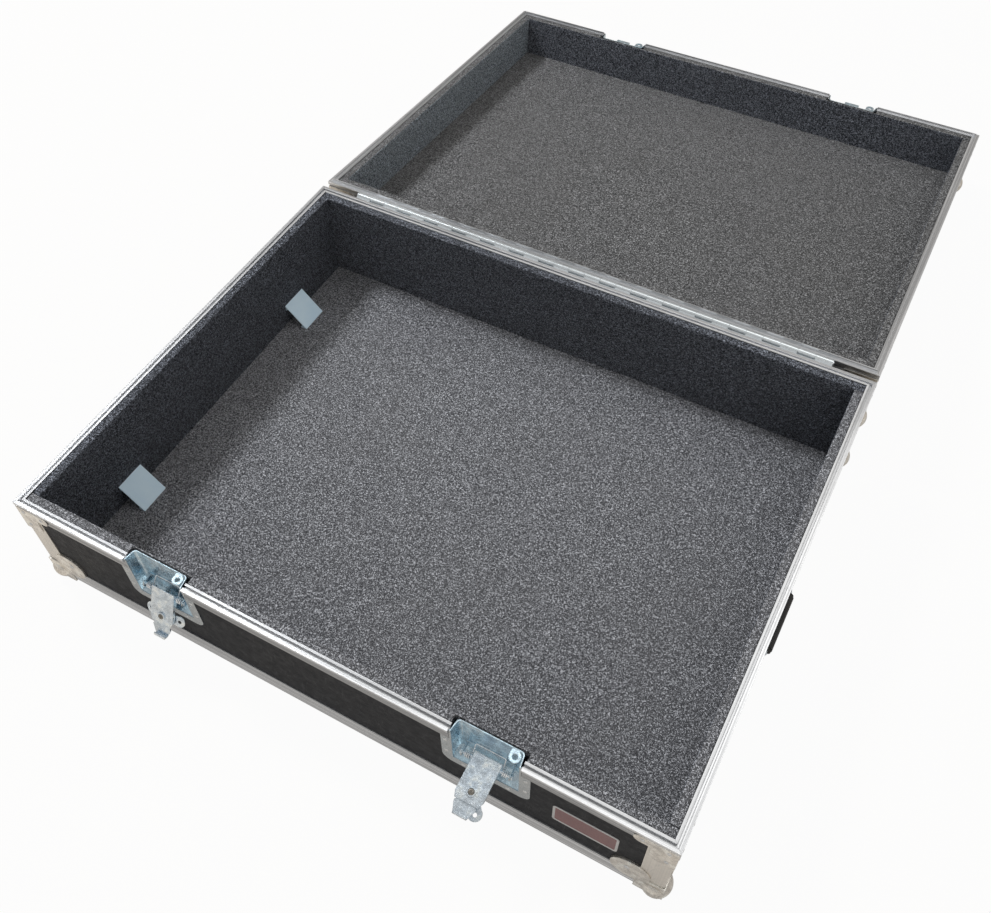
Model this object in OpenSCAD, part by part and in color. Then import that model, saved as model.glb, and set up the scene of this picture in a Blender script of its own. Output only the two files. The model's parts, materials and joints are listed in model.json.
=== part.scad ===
// Flight case for effect pedals, folded open: deep base tray, shallow lid
// hinged behind it, foam lining, aluminium rims and edging, two butterfly
// latches in recessed dishes and a recessed bail handle at each end.
// Millimetres, +Z up, front towards -Y. The origin is the centre of the
// underside of the base's floor panel.

/* [Case] */
// Width across the outer edges of the rim
case_w = 860; // [700:10:1000]
// Depth front to back across the rim
case_d = 668; // [560:4:760]
// Height of the base from its floor panel to the rim plane
base_h = 158; // [150:2:220]
// Height of the lid from its rim plane to its top panel
lid_h = 100; // [92:1:140]
// Thickness of the laminated plywood panels
panel_t = 6.5; // [5:0.5:7]
// How far the rim stands proud of the panel faces
lip = 3.2; // [3:0.1:4]
// Thickness of the foam on the walls and on the floor of the base
foam_t = 12; // [8:0.5:16]
// Thickness of the foam under the lid's top panel
lid_foam_t = 25; // [12:1:32]

/* [Rim and edging] */
// Height of the solid head of the rim extrusion
rim_head = 7; // [6.5:0.5:8]
// Height of the rim's outer flange below the rim plane
rim_flange = 22; // [18:1:26]
// Leg of the aluminium edging angles
edge_leg = 30; // [24:1:32]
// Wall of the edging angles
edge_t = 1.5; // [1:0.1:1.8]
// Radius of the steel corner balls
ball_r = 18; // [16:0.5:20]
// How far a corner ball stands out of the panel faces
ball_out = 9; // [7:0.5:10]

/* [Lid and hinge] */
// Gap between the two rims when the lid is shut
part_gap = 0.4; // [0.3:0.1:0.6]
// Distance of the hinge line behind the rims
hinge_off = 6.45; // [6.4:0.05:7]
// Length of the hinge
hinge_len = 740; // [500:20:760]
// Number of knuckles, both leaves together
knuckles = 31; // [11:2:41]
// Outer radius of a knuckle
knuckle_r = 3.6; // [3.2:0.1:3.8]

/* [Latches] */
// Distance of each latch from the middle of the case
latch_x = 216; // [150:2:260]
// Width of a latch dish over its flange
dish_w = 106; // [96:2:120]
// Inner depth of the dish pan
dish_deep = 14; // [12.5:0.5:14]
// Height of the pivot pin below the rim plane
pin_drop = 50; // [47:1:50]
// Distance of the pivot pin behind the panel face
pin_in = 2.5; // [2:0.25:3]
// Distance from the pivot pin to the butterfly
turn_at = 33; // [32:0.5:33]
// Travel of the hook plate in half a turn of the butterfly
hook_travel = 6; // [4:0.5:6]
// How far the left latch is swung open
left_swing = 155; // [90:1:155]
// How far the right latch is swung open
right_swing = 98; // [90:1:155]
// How far the left butterfly is turned
left_turn = 0; // [0:5:180]
// How far the right butterfly is turned
right_turn = 120; // [0:5:180]

/* [Handles and brackets] */
// Length of the handle grip
grip_len = 84; // [70:2:86]
// Radius of the handle grip
grip_r = 7; // [5:0.5:8]
// Distance of each wedge bracket from the middle, front to back
bracket_y = 192; // [120:4:240]
// Width of a wedge bracket
bracket_w = 44; // [30:2:60]
// Height and reach of a wedge bracket
bracket_leg = 34; // [24:1:44]

/* [Hidden] */
$fn = 48;

black = [0.10, 0.11, 0.13];
alloy = [0.80, 0.81, 0.82];
steel = [0.66, 0.72, 0.78];
foam_grey = [0.30, 0.31, 0.33];
rubber = [0.12, 0.12, 0.12];
eps = 0.01;

// Panel faces, measured from the middle of the case
face_x = case_w / 2 - lip;
face_y = case_d / 2 - lip;
inner_x = face_x - panel_t;
inner_y = face_y - panel_t;
// Width of the rim extrusion's head and of its legs
leg_t = 1.1;
flange_t = 1.2;
rim_w = lip + panel_t + leg_t;
inner_leg = 16;
// Groove in the base rim and tongue on the lid rim
groove_mid = 6.1;
groove_w = 3;
groove_deep = 4.6;
tongue_h = 3.8;
tongue_in = 1;
tongue_root = 2;
tongue_tip = 1.2;
// Foam: inner face of the wall lining, its gap below the rim plane
foam_in = rim_w + foam_t;
foam_drop = 0.5;
foam_gap = 0.2;
// Hinge line, and how far the lid is folded back to rest on its balls
pivot_y = case_d / 2 + hinge_off;
pivot_z = base_h + part_gap / 2;
ball_back = ball_r - ball_out;
ball_y = pivot_y + face_y - ball_back;
ball_z = part_gap / 2 + lid_h - ball_back;
ball_arm = sqrt(ball_y * ball_y + ball_z * ball_z);
fold = asin((pivot_z - ball_back) / ball_arm) - atan(ball_z / ball_y);
open_deg = 180 + fold;
knuckle_pitch = hinge_len / knuckles;
pin_r = 1.75;
// Ball corner: sheet, stand-off, neck and petal of a leaf
leaf_t = 1.5;
leaf_out = edge_t + 0.1 + leaf_t;
leaf_neck = 34;
petal_mid = 41;
petal_r = 23;
leaf_step = edge_leg - edge_t + leaf_out + 0.2;
// Corner brace: its sheet, its two arms and the radius of their ends
brace_t = 1.2;
brace_arm = 40;
brace_foot = 20;
brace_r = 8;
// Latch dish: sheet, gap in the rim, pan mouth and pan floor half widths
dish_t = 1.2;
gap_half = 42.5;
mouth_half = 41;
floor_half = 35;
corner_r = 4.5;
flange_r = 13;
base_mouth = 72;
base_floor = 62;
base_flange = 84;
lid_mouth = 28;
lid_floor = 18;
lid_flange = 40;
pocket_half = 44;
pocket_back = dish_deep + dish_t + 1;
// Padlock eye: its middle across and behind the panel face, its sheet
eye_x = 31;
eye_y = 6.5;
eye_r = 6.5;
eye_bore = 3.2;
eye_t = 2;
// Latch mechanism, measured back from the pivot pin and up the arm
axle_r = 2;
ear_x = 28;
ear_t = 1.5;
ear_r = 4.5;
plate_h = 14;
arm_w = 33;
arm_t = 1.5;
arm_back = 2.6;
arm_top = 45;
arm_shoulder = 38;
arm_taper = 0.4;
cheek_r = 3.6;
cheek_top = 13;
cheek_end = 6;
hook_w = 23;
hook_tip = 16;
hook_back = 1;
cam_r = 6;
cam_off = hook_travel / 2;
cam_play = 0.8;
shaft_r = 2.6;
hub_r = 7.5;
washer_r = 5.5;
wing_x = 21;
wing_y = 2.5;
wing_r = 8;
keeper_top = 6.1;
keeper_w = 24;
keeper_h = 5;
keeper_t = 1.5;
lip_gap = 0.3;
// Double spring: wire, mean radius, pitch, rings of each coil, start of the
// coils from the middle, and the loop that leans on the dish between them
wire_r = 0.7;
coil_r = 3.3;
spring_pitch = 2.1;
coil_rings = 27;
coil_x = 18.9;
loop_x = 18.1;
loop_up = 11;
loop_back = dish_deep - pin_in - wire_r - 0.3;
// Handle: middle height, pan, bail
handle_z = 82;
hpan_a = 108;
hpan_b = 72;
hpan_deep = 13;
hflange_a = 132;
hflange_b = 96;
bail_r = 3;
bail_up = 20;
bail_in = 5;
grip_down = 17;
grip_out = 3;
boss_r = 5.5;

// Placing

// Children are drawn as a tray with its rim up; the lid is that tray turned
// over, set on the base and folded back about the hinge line.
module fold_lid() {
    translate([0, pivot_y, pivot_z])
        rotate([-open_deg, 0, 0])
            translate([0, -pivot_y, -pivot_z])
                children();
}

module place(h) {
    if (h == base_h) {
        children();
    } else {
        fold_lid()
            translate([0, 0, base_h + part_gap + lid_h])
                mirror([0, 0, 1])
                    children();
    }
}

// Both ends of the case, and all four corners
module both_ends() {
    children();
    mirror([1, 0, 0]) children();
}

module both_sides() {
    children();
    mirror([0, 1, 0]) children();
}

// Latch frame: middle of the dish, at the panel face and the rim plane
module at_latch(side, h) {
    translate([side * latch_x, -face_y, h]) children();
}

// Panels

module floor_panel() {
    translate([-face_x, -face_y, 0])
        cube([2 * face_x, 2 * face_y, panel_t]);
}

module latch_windows(h, drop) {
    for (side = [-1, 1])
        at_latch(side, h)
            translate([-mouth_half - 1, -eps, -drop - 1])
                cube([2 * mouth_half + 2, panel_t + 2 * eps, drop + 2]);
}

module long_panel(h) {
    translate([-face_x, -face_y, panel_t])
        cube([2 * face_x, panel_t, h - rim_head - panel_t]);
}

module front_panel(h, drop) {
    difference() {
        long_panel(h);
        latch_windows(h, drop);
    }
}

module back_panel(h) {
    mirror([0, 1, 0]) long_panel(h);
}

module end_panel(h) {
    translate([-face_x, -inner_y, panel_t])
        cube([panel_t, 2 * inner_y, h - rim_head - panel_t]);
}

module handle_window() {
    translate([-face_x - eps, -hpan_a / 2 - 1, handle_z - hpan_b / 2 - 1])
        cube([panel_t + 2 * eps, hpan_a + 2, hpan_b + 2]);
}

// Foam

// The lid's top is padded thicker than the base's floor
function pad(h) = h == lid_h ? lid_foam_t : foam_t;

module floor_foam(h) {
    translate([-inner_x, -inner_y, panel_t])
        cube([2 * inner_x, 2 * inner_y, pad(h)]);
}

// One strip lies against its panel and steps in over the rim's inner leg
module foam_strip(len, h) {
    low = panel_t + pad(h);
    rotate([90, 0, 90])
        linear_extrude(len, center = true)
            polygon([
                [0, low],
                [foam_in - lip - panel_t, low],
                [foam_in - lip - panel_t, h - foam_drop],
                [leg_t, h - foam_drop],
                [leg_t, h - inner_leg],
                [0, h - inner_leg]
            ]);
}

module long_foam(h) {
    translate([0, -inner_y, 0]) foam_strip(case_w - 2 * rim_w, h);
}

module end_foam(h) {
    run = 2 * (case_d / 2 - foam_in - foam_gap);
    translate([-inner_x, 0, 0])
        rotate([0, 0, -90])
            foam_strip(run, h);
}

module foam_run(from, to, h) {
    translate([(from + to) / 2, -inner_y, 0]) foam_strip(to - from, h);
}

// In front the lining is cut into three strips; behind each dish stands a
// thin sheet, with a packing block under the pan.
module front_foam(h, drop) {
    run_end = case_w / 2 - rim_w;
    half = pocket_half - foam_gap;
    low = panel_t + pad(h);
    foam_run(-run_end, -latch_x - pocket_half, h);
    foam_run(-latch_x + pocket_half, latch_x - pocket_half, h);
    foam_run(latch_x + pocket_half, run_end, h);
    for (side = [-1, 1])
        at_latch(side, low) {
            translate([-half, pocket_back, 0])
                cube([
                    2 * half,
                    foam_in - lip - pocket_back,
                    h - foam_drop - low
                ]);
            translate([-half, panel_t, 0])
                cube([
                    2 * half,
                    pocket_back - foam_gap - panel_t,
                    h - drop - 4 - low
                ]);
        }
}

// Rims

// Section of the rim: u runs in from the outer edge, v runs up
module rim_section(tongue) {
    difference() {
        union() {
            polygon([
                [0, 0], [0, -4.5], [2, -rim_head - 0.5],
                [lip, -rim_head - 0.5], [lip, -rim_head],
                [rim_w, -rim_head], [rim_w, 0]
            ]);
            translate([lip - flange_t, -rim_flange])
                square([flange_t, rim_flange - rim_head + eps]);
            translate([lip + panel_t, -inner_leg])
                square([leg_t, inner_leg - rim_head + eps]);
            if (tongue)
                polygon([
                    [groove_mid - tongue_root / 2, -tongue_in],
                    [groove_mid - tongue_root / 2, 0],
                    [groove_mid - tongue_tip / 2, tongue_h],
                    [groove_mid + tongue_tip / 2, tongue_h],
                    [groove_mid + tongue_root / 2, 0],
                    [groove_mid + tongue_root / 2, -tongue_in]
                ]);
        }
        if (!tongue)
            translate([groove_mid - groove_w / 2, -groove_deep])
                square([groove_w, groove_deep + 1]);
        // Three fine lines run along the flange
        for (line = [-11, -14, -17])
            translate([lip - flange_t - 0.1, line])
                square([0.4, 0.8]);
    }
}

// A length along X whose outer edge is at -Y, mitred at both ends
module mitred(len, deep, low, high) {
    intersection() {
        children();
        translate([0, 0, low])
            linear_extrude(high - low)
                polygon([
                    [-len / 2, 0], [len / 2, 0],
                    [len / 2 - deep, deep], [-len / 2 + deep, deep]
                ]);
    }
}

module rim_bar(len, tongue) {
    mitred(len, rim_w, -rim_flange - 1, tongue_h + 1)
        rotate([90, 0, 90])
            linear_extrude(len, center = true)
                rim_section(tongue);
}

module rim_long(h) {
    translate([0, -case_d / 2, h]) rim_bar(case_w, h == lid_h);
}

module rim_front(h) {
    difference() {
        rim_long(h);
        for (side = [-1, 1])
            at_latch(side, h)
                translate([-gap_half, -lip - 1, -rim_flange - 1])
                    cube([2 * gap_half, rim_w + 2, rim_flange + 10]);
    }
}

module rim_end(h) {
    translate([-case_w / 2, 0, h])
        rotate([0, 0, -90])
            rim_bar(case_d, h == lid_h);
}

// Edging, corner angles, braces and balls

// Angle section with a rounded heel at the origin
module angle_section(leg, t, heel) {
    difference() {
        union() {
            translate([heel, heel]) circle(heel);
            translate([heel, 0]) square([leg - heel, t]);
            translate([0, heel]) square([t, leg - heel]);
        }
        translate([t, t]) square(leg);
    }
}

module edge_bar(len) {
    mitred(len, edge_leg + edge_t, -1, edge_leg + 1)
        rotate([90, 0, 90])
            linear_extrude(len, center = true)
                angle_section(edge_leg, edge_t, 2.4);
}

module edging_long() {
    both_sides()
        translate([0, -face_y - edge_t, -edge_t])
            edge_bar(2 * (face_x + edge_t));
}

module edging_short() {
    both_ends()
        translate([-face_x - edge_t, 0, -edge_t])
            rotate([0, 0, -90])
                edge_bar(2 * (face_y + edge_t));
}

module corner_angles(h) {
    low = edge_leg - edge_t;
    both_ends() both_sides()
        translate([-face_x - edge_t, -face_y - edge_t, low + 0.1])
            linear_extrude(h - rim_flange - low - 0.2)
                angle_section(edge_leg, edge_t, 2.4);
}

// A brace wraps the corner under the rim and ends in two arms; in the
// shallow lid its lower arm is cut short, above the ball corner.
module brace_face(down) {
    top = rim_flange + 2;
    translate([0, -top]) square([brace_arm, 2 * brace_r]);
    translate([brace_arm, brace_r - top]) circle(brace_r);
    translate([0, brace_r - down])
        square([brace_foot + brace_r, down - brace_r - 20]);
    translate([0, -down]) square([brace_foot, brace_r + 4]);
    translate([brace_foot, brace_r - down]) circle(brace_r);
}

module corner_braces(h) {
    down = min(52, h - 56);
    out = edge_t + 0.1 + brace_t;
    both_ends() both_sides()
        translate([-face_x - out, -face_y - out, h]) {
            translate([0, brace_t, 0])
                rotate([90, 0, 0])
                    linear_extrude(brace_t)
                        brace_face(down);
            rotate([90, 0, 90])
                linear_extrude(brace_t)
                    brace_face(down);
        }
}

// A ball corner: a ball where three faces meet, and on each face a leaf that
// crosses both edging angles and swells to a round petal on the panel.
module petal() {
    translate([petal_mid, petal_mid]) circle(petal_r);
}

module leaf() {
    linear_extrude(leaf_t) {
        square(leaf_neck);
        petal();
    }
    // Past the angles the petal is pressed down onto the panel
    linear_extrude(leaf_out)
        intersection() {
            petal();
            translate([leaf_step, leaf_step]) square(2 * petal_r);
        }
}

module ball_corners() {
    seat = leaf_out - leaf_t;
    both_ends() both_sides()
        translate([-face_x, -face_y, 0]) {
            translate([-leaf_out, -leaf_out, -leaf_out]) {
                leaf();
                mirror([0, 1, -1]) leaf();
                mirror([1, 0, -1]) leaf();
            }
            difference() {
                translate([ball_back, ball_back, ball_back]) sphere(ball_r);
                translate([-seat, -seat, -seat]) cube(2 * ball_r + 4);
            }
        }
}

// Latch dishes

// Plan of the pan: the side runs back from the mouth, then round a corner
function side_curve(mouth, bottom, deep, sign) = concat(
    [[sign * mouth, 0]],
    [for (i = [0:4])
        [
            sign * (bottom + corner_r * cos(i * 22.5)),
            deep - corner_r + corner_r * sin(i * 22.5)
        ]]
);

function flipped(list) = [for (i = [len(list) - 1:-1:0]) list[i]];

// Solid block filling the pan; front is how far it runs out of the mouth
module pan_block(mouth, bottom, deep, v_mouth, v_floor, front) {
    intersection() {
        translate([0, 0, -v_mouth - 1])
            linear_extrude(v_mouth + 1)
                polygon(concat(
                    [[mouth, -front], [-mouth, -front]],
                    side_curve(mouth, bottom, deep, -1),
                    flipped(side_curve(mouth, bottom, deep, 1))
                ));
        rotate([90, 0, 90])
            linear_extrude(4 * mouth, center = true)
                polygon([
                    [-front, 0], [deep, 0], [deep, -v_floor],
                    [0, -v_mouth], [-front, -v_mouth]
                ]);
    }
}

module dish_flange(v_flange) {
    r = min(flange_r, (v_flange - rim_flange - 0.4) / 2);
    half = dish_w / 2;
    top = -rim_flange - 0.4;
    translate([-mouth_half - 1, -v_flange + r])
        square([2 * mouth_half + 2, v_flange - r]);
    translate([-half, -v_flange + r]) square([dish_w, v_flange - r + top]);
    translate([-half + r, -v_flange]) square([dish_w - 2 * r, r + 1]);
    for (s = [-1, 1])
        translate([s * (half - r), -v_flange + r]) circle(r);
}

// Padlock eye: a flat tab with a round end and a hole, welded to the back of
// the pan level with the rim
module eye() {
    translate([eye_x, eye_y, -eye_t - 0.2])
        linear_extrude(eye_t)
            difference() {
                union() {
                    circle(eye_r);
                    translate([-eye_r, 0])
                        square([eye_r + 2.5, dish_deep - eye_y]);
                }
                circle(eye_bore);
            }
}

module dish(v_mouth, v_floor, v_flange) {
    translate([0, 0, -0.2]) {
        difference() {
            union() {
                rotate([90, 0, 0])
                    linear_extrude(dish_t)
                        dish_flange(v_flange);
                pan_block(mouth_half, floor_half, dish_deep + dish_t,
                    v_mouth, v_floor + dish_t, 0);
            }
            translate([0, 0, eps])
                pan_block(mouth_half - dish_t, floor_half - dish_t,
                    dish_deep, v_mouth - dish_t, v_floor, 2);
        }
    }
}

// Keeper: an upright lip on a foot that stands out of the lid pan's floor
module keeper() {
    front = pin_in + arm_back + 0.3;
    back = dish_deep - 0.1;
    translate([-keeper_w / 2, 0, -keeper_top]) {
        for (y = [front, back - keeper_t])
            translate([0, y, 0]) cube([keeper_w, keeper_t, keeper_h]);
        translate([0, front, keeper_h - keeper_t])
            cube([keeper_w, back - front, keeper_t]);
    }
}

// Latch mechanism

// Children are drawn shut, with the pivot pin at the origin, the arm
// pointing up and the inside of the dish towards +Y.
module at_pin(side) {
    at_latch(side, base_h)
        translate([0, pin_in, -pin_drop])
            children();
}

module swung(side) {
    at_pin(side)
        rotate([side < 0 ? left_swing : right_swing, 0, 0])
            children();
}

module pivot_bracket() {
    back = dish_deep - pin_in - 0.05;
    translate([-ear_x - ear_t, back - ear_t, -plate_h / 2])
        cube([2 * (ear_x + ear_t), ear_t, plate_h]);
    for (s = [-1, 1])
        translate([s * (ear_x + ear_t / 2), 0, 0])
            rotate([90, 0, 90])
                linear_extrude(ear_t, center = true)
                    difference() {
                        union() {
                            circle(ear_r);
                            translate([0, -ear_r]) square([back, 2 * ear_r]);
                        }
                        circle(axle_r + 0.03);
                    }
}

// A plain pin with a flat head beyond each ear
module pivot_pin() {
    head_t = 1.6;
    head_x = ear_x + ear_t + 0.1 + head_t / 2;
    rotate([0, 90, 0]) {
        cylinder(h = 2 * head_x, r = axle_r, center = true);
        for (s = [-1, 1])
            translate([0, 0, s * head_x])
                cylinder(h = head_t, r = 3, center = true);
    }
}

// One wire forms a coil at each side of the arm and a loop between them: a
// tube of six sides, with eight rings to a turn of the coils.
function coil_spine(i) = [
    coil_x + spring_pitch * i / 8, coil_r * cos(45 * i), -coil_r * sin(45 * i)
];

function wire_ring(middle, out, side) = [
    for (j = [0:5]) middle + wire_r * (cos(60 * j) * out + sin(60 * j) * side)
];

function mirrored(p) = [-p[0], p[1], p[2]];

// The loop's leg rises from the coil and slants back to the pan
leg_start = [loop_x, 4.6, 3];
leg_end = [loop_x, loop_back, loop_up];
leg_run = (leg_end - leg_start) / norm(leg_end - leg_start);
leg_out = [0, leg_run[2], -leg_run[1]];
across = [1, 0, 0];

half_spine = concat(
    [for (i = [coil_rings - 1:-1:0])
        [coil_spine(i), [0, cos(45 * i), -sin(45 * i)], across]],
    [
        [[coil_x - 0.4, 3.6, 1.3], [0, 0.96, -0.28], across],
        [leg_start, leg_out, across],
        [leg_end, leg_out, across + leg_run]
    ]
);

spring_rings = concat(
    [for (r = half_spine) wire_ring(r[0], r[1], r[2])],
    [for (i = [len(half_spine) - 1:-1:0])
        let (r = half_spine[i])
            wire_ring(mirrored(r[0]), r[1], mirrored(r[2]))]
);

// Least clear gap between the wire and itself, five rings or more apart
wire_gap = min([
    for (i = [0:len(half_spine) - 6])
        for (k = [i + 5:len(half_spine) - 1])
            norm(half_spine[i][0] - half_spine[k][0])
]) - 2 * wire_r;
echo(spring_gap = wire_gap);

module springs() {
    last = len(spring_rings) - 1;
    polyhedron(
        points = [for (ring = spring_rings) for (p = ring) p],
        faces = concat(
            [for (i = [0:last - 1]) for (j = [0:5])
                [i * 6 + j, (i + 1) * 6 + j, i * 6 + (j + 1) % 6]],
            [for (i = [0:last - 1]) for (j = [0:5])
                [(i + 1) * 6 + j, (i + 1) * 6 + (j + 1) % 6,
                    i * 6 + (j + 1) % 6]],
            [for (j = [1:4]) [0, j, j + 1]],
            [for (j = [1:4]) [last * 6, last * 6 + j + 1, last * 6 + j]]
        )
    );
}

module arm_face() {
    cut = arm_taper * (arm_top - arm_shoulder);
    difference() {
        polygon([
            [-arm_w / 2, -cheek_end], [arm_w / 2, -cheek_end],
            [arm_w / 2, arm_shoulder], [arm_w / 2 - cut, arm_top],
            [-arm_w / 2 + cut, arm_top], [-arm_w / 2, arm_shoulder]
        ]);
        translate([0, turn_at]) circle(shaft_r + 0.05);
    }
}

// The arm is a channel: its sides run on from the pivot as low flanges
module latch_arm() {
    flange_front = -0.2;
    translate([0, arm_back + arm_t, 0])
        rotate([90, 0, 0])
            linear_extrude(arm_t)
                arm_face();
    for (s = [-1, 1])
        translate([s * (arm_w - arm_t) / 2, 0, 0])
            rotate([90, 0, 90])
                linear_extrude(arm_t, center = true)
                    difference() {
                        union() {
                            circle(cheek_r);
                            translate([0, -cheek_r])
                                square([arm_back + eps, cheek_r]);
                            polygon([
                                [0, -cheek_r], [-cheek_r, 0],
                                [-1.6, cheek_top],
                                [flange_front, cheek_top + 4],
                                [flange_front, arm_shoulder - 1],
                                [arm_back + eps, arm_shoulder],
                                [arm_back + eps, -cheek_r]
                            ]);
                        }
                        circle(axle_r + 0.06);
                    }
}

// Height of the hook's lip above the pin when it is drawn down
lip_low = pin_drop + part_gap + keeper_top + lip_gap;

module hook_plate(turn) {
    lift = hook_travel * (1 - turn / 180);
    lip_t = 1.5;
    slot_mid = turn_at - cam_off;
    neck = arm_w / 2 - 3.5;
    foot = cheek_top + 2;
    shoulder = 43;
    translate([0, 0, lift]) {
        translate([0, hook_back + arm_t, 0])
            rotate([90, 0, 0])
                linear_extrude(arm_t)
                    difference() {
                        union() {
                            translate([-hook_w / 2, foot])
                                square([hook_w, shoulder + 2 - foot]);
                            polygon([
                                [-hook_w / 2, shoulder],
                                [hook_w / 2, shoulder],
                                [neck, shoulder + 1.5], [neck, shoulder + 3],
                                [hook_tip / 2, lip_low + lip_t],
                                [-hook_tip / 2, lip_low + lip_t],
                                [-neck, shoulder + 3],
                                [-neck, shoulder + 1.5]
                            ]);
                        }
                        translate([0, slot_mid])
                            square([
                                2 * (cam_r + cam_off) + 1,
                                2 * (cam_r + cam_play)
                            ], center = true);
                    }
        translate([-hook_tip / 2, hook_back, lip_low])
            cube([hook_tip, 5.7, lip_t]);
        translate([-hook_tip / 2, hook_back + 4.2, lip_low - 1.8])
            cube([hook_tip, 1.5, 1.8 + eps]);
    }
}

module wing() {
    difference() {
        union() {
            polygon([
                [0, -6], [wing_x, wing_y - wing_r],
                [wing_x, wing_y + wing_r], [0, 6]
            ]);
            translate([wing_x, wing_y]) circle(wing_r);
        }
        translate([wing_x + 1, wing_y]) circle(2.4);
    }
}

module butterfly(turn) {
    wing_t = 1.6;
    hub_front = -1.6;
    translate([0, 0, turn_at])
        rotate([0, turn, 0]) {
            rotate([-90, 0, 0]) {
                translate([0, 0, hub_front])
                    cylinder(h = hook_back - 0.2 - hub_front, r = hub_r);
                cylinder(h = arm_back + arm_t + 1.5, r = shaft_r);
                translate([0, 0, arm_back + arm_t + 0.1])
                    cylinder(h = 1.4, r = washer_r);
            }
            translate([0, 0, cam_off])
                rotate([-90, 0, 0])
                    translate([0, 0, hook_back - 0.2 - eps])
                        cylinder(h = arm_t + 0.2 + eps, r = cam_r);
            for (s = [0, 1])
                mirror([s, 0, 0])
                    translate([0, 0.7, 0])
                        rotate([0, 0, -9])
                            rotate([90, 0, 0])
                                linear_extrude(wing_t)
                                    wing();
        }
}

// Hinge

// Drawn about the hinge line, y across it and z up, for the lower leaf: a
// flat leg on the rim, a step out over the rim, and a lip along the knuckles
module leaf_section() {
    front = hinge_off - 0.05;
    polygon([
        [-front, -1.4], [-front + 2.4, -1.4], [-front + 2.4, -2.4],
        [-front + 1.2, -3.6], [-front + 1.2, -4.9],
        [-front - 0.8, -8.2], [-front - 0.8, -25],
        [-front - 1.95, -25], [-front - 1.95, -8.5],
        [-front, -5.2]
    ]);
}

module knuckle_section() {
    front = hinge_off - 0.05;
    circle(knuckle_r);
    polygon([
        [-front + 1.2, -4.5], [-front, -4.5], [-front, -1.4],
        [-3.3, 1], [-2, -1.6]
    ]);
}

module hinge_leaf(first, bore) {
    count = floor((knuckles - first + 1) / 2);
    rotate([90, 0, 90]) {
        linear_extrude(hinge_len, center = true) leaf_section();
        for (i = [0:count - 1])
            translate([0, 0,
                -hinge_len / 2 + (2 * i + first) * knuckle_pitch + 0.2])
                linear_extrude(knuckle_pitch - 0.4)
                    difference() {
                        knuckle_section();
                        circle(bore);
                    }
    }
}

// Handles

module rounded(a, b, r) {
    square([a - 2 * r, b], center = true);
    square([a, b - 2 * r], center = true);
    for (i = [-1, 1])
        for (j = [-1, 1])
            translate([i * (a / 2 - r), j * (b / 2 - r)]) circle(r);
}

// Handle frame: drawn for the left end, outward is -X
module at_handle(side) {
    mirror([side > 0 ? 1 : 0, 0, 0])
        translate([-face_x, 0, handle_z])
            children();
}

// Turns a sketch with Y across and Z up so that it is extruded inwards
module inward() {
    rotate([90, 0, 90]) children();
}

module handle_dish() {
    difference() {
        union() {
            translate([-dish_t, 0, 0])
                inward() linear_extrude(dish_t) rounded(hflange_a, hflange_b, 12);
            inward()
                linear_extrude(hpan_deep + dish_t)
                    rounded(hpan_a, hpan_b, 10);
        }
        translate([-dish_t - 1, 0, 0])
            inward()
                linear_extrude(hpan_deep + dish_t + 1)
                    rounded(hpan_a - 2 * dish_t, hpan_b - 2 * dish_t, 9);
    }
    // Two ears carry the ends of the bail
    for (s = [-1, 1])
        translate([0, s * (hpan_a / 2 - 5), bail_up])
            rotate([90, 0, 0])
                linear_extrude(2, center = true)
                    difference() {
                        union() {
                            translate([bail_in, 0]) circle(boss_r);
                            translate([bail_in, -boss_r])
                                square([hpan_deep - bail_in + eps, 2 * boss_r]);
                        }
                        translate([bail_in, 0]) circle(bail_r + 0.08);
                    }
}

module bail() {
    reach = hpan_a / 2 - 9;
    run = sqrt(pow(bail_up + grip_down, 2) + pow(bail_in + grip_out, 2));
    tilt = atan((bail_in + grip_out) / (bail_up + grip_down));
    translate([bail_in, 0, bail_up])
        rotate([0, tilt, 0]) {
            for (s = [-1, 1]) {
                translate([0, s * reach, -run]) cylinder(h = run, r = bail_r);
                translate([0, s * reach, 0]) sphere(bail_r);
                translate([0, s * reach, -run]) sphere(bail_r);
                translate([0, s * reach, 0])
                    rotate([-90 * s, 0, 0])
                        cylinder(h = 7, r = bail_r);
            }
            translate([0, 0, -run])
                rotate([90, 0, 0])
                    cylinder(h = 2 * reach, r = bail_r, center = true);
        }
}

module grip() {
    translate([-grip_out, 0, -grip_down])
        rotate([90, 0, 0])
            difference() {
                union() {
                    cylinder(h = grip_len, r = grip_r - 1, center = true);
                    cylinder(h = grip_len - 6, r = grip_r, center = true);
                }
                cylinder(h = grip_len + 2, r = bail_r + 0.03, center = true);
            }
}

module pocket_end_foam(h) {
    difference() {
        end_foam(h);
        translate([-face_x, 0, handle_z])
            translate([panel_t - eps, 0, 0])
                inward()
                    linear_extrude(hpan_deep + dish_t + 0.5 - panel_t)
                        rounded(hpan_a + 2, hpan_b + 2, 10);
    }
}

// Wedge brackets

// Folded sheet: a foot on the wall, a sloping face, a foot on the floor
module wedge_bracket() {
    t = 1.5;
    foot = 9;
    slant = bracket_leg - t * (1 + sqrt(2));
    rotate([90, 0, 0])
        linear_extrude(bracket_w, center = true)
            polygon([
                [0, bracket_leg - foot], [0, bracket_leg],
                [bracket_leg, 0], [bracket_leg - foot - t, 0],
                [bracket_leg - foot - t, t], [slant, t],
                [t, slant], [t, bracket_leg - foot]
            ]);
}

// Nodes

module base_floor_panel() { color(black) floor_panel(); }
module base_front_panel() { color(black) front_panel(base_h, base_mouth); }
module base_back_panel() { color(black) back_panel(base_h); }

module base_left_panel() {
    color(black)
        difference() {
            end_panel(base_h);
            handle_window();
        }
}

module base_right_panel() {
    mirror([1, 0, 0]) base_left_panel();
}

module base_floor_foam() { color(foam_grey) floor_foam(base_h); }

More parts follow.
